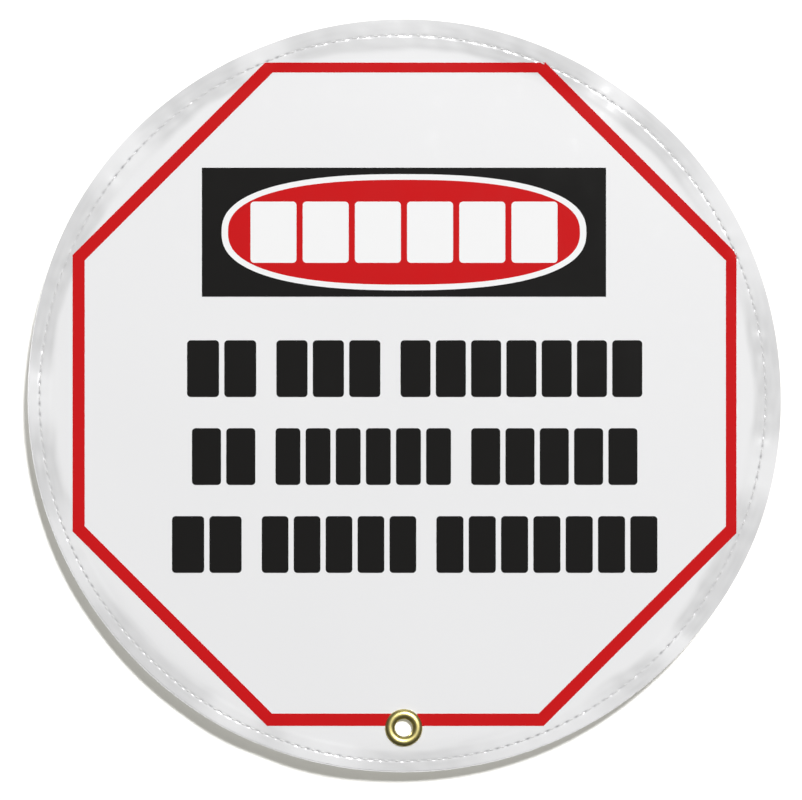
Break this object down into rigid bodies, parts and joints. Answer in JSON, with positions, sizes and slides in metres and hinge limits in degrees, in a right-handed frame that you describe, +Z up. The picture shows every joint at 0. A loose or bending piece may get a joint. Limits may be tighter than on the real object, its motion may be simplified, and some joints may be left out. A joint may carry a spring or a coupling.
{
  "type": "steering wheel message cover",
  "caption": "Round white vinyl cover that slips over a steering wheel, with a sewn rim, an eight-sided border, a header panel, a half-moon pocket behind and a brass grommet.",
  "frame": {"origin": "centre of the disc on the back face of the front panel, where the steering wheel's face rests", "axes": "+Z up the printed face, -Y out of the printed face towards the reader, +X to the reader's right, pocket on the +Y side"},
  "size_m": [0.6096, 0.0364, 0.6096],
  "materials": {
    "white_vinyl": "supported white PVC sheet, gloss with a faint calendered grain",
    "binding_tape": "plain woven white polyester tape, matt",
    "seam_thread": "bonded white polyester sewing thread, soft sheen",
    "grommet_brass": "stamped brass, bright with slight tarnish in the hollows",
    "red_ink": "opaque red screen ink, gloss",
    "black_ink": "opaque black screen ink, gloss",
    "white_ink": "opaque white screen ink, gloss"
  },
  "bodies": {
    "root": {"front_panel": "white_vinyl", "edge_facing": "white_vinyl", "rear_pocket_panel": "white_vinyl", "pocket_mouth_binding": "binding_tape", "binding_stitches": "seam_thread", "rim_needle_thread": "seam_thread", "rim_bobbin_thread": "seam_thread", "mouth_bar_tacks": "seam_thread", "grommet_eyelet": "grommet_brass", "grommet_washer": "grommet_brass", "border_print": "red_ink", "header_print": "black_ink", "oval_keyline_print": "white_ink", "oval_print": "red_ink", "signal_blocks_print": "white_ink", "legend_line_1_print": "black_ink", "legend_line_2_print": "black_ink", "legend_line_3_print": "black_ink"}
  },
  "joints": []
}
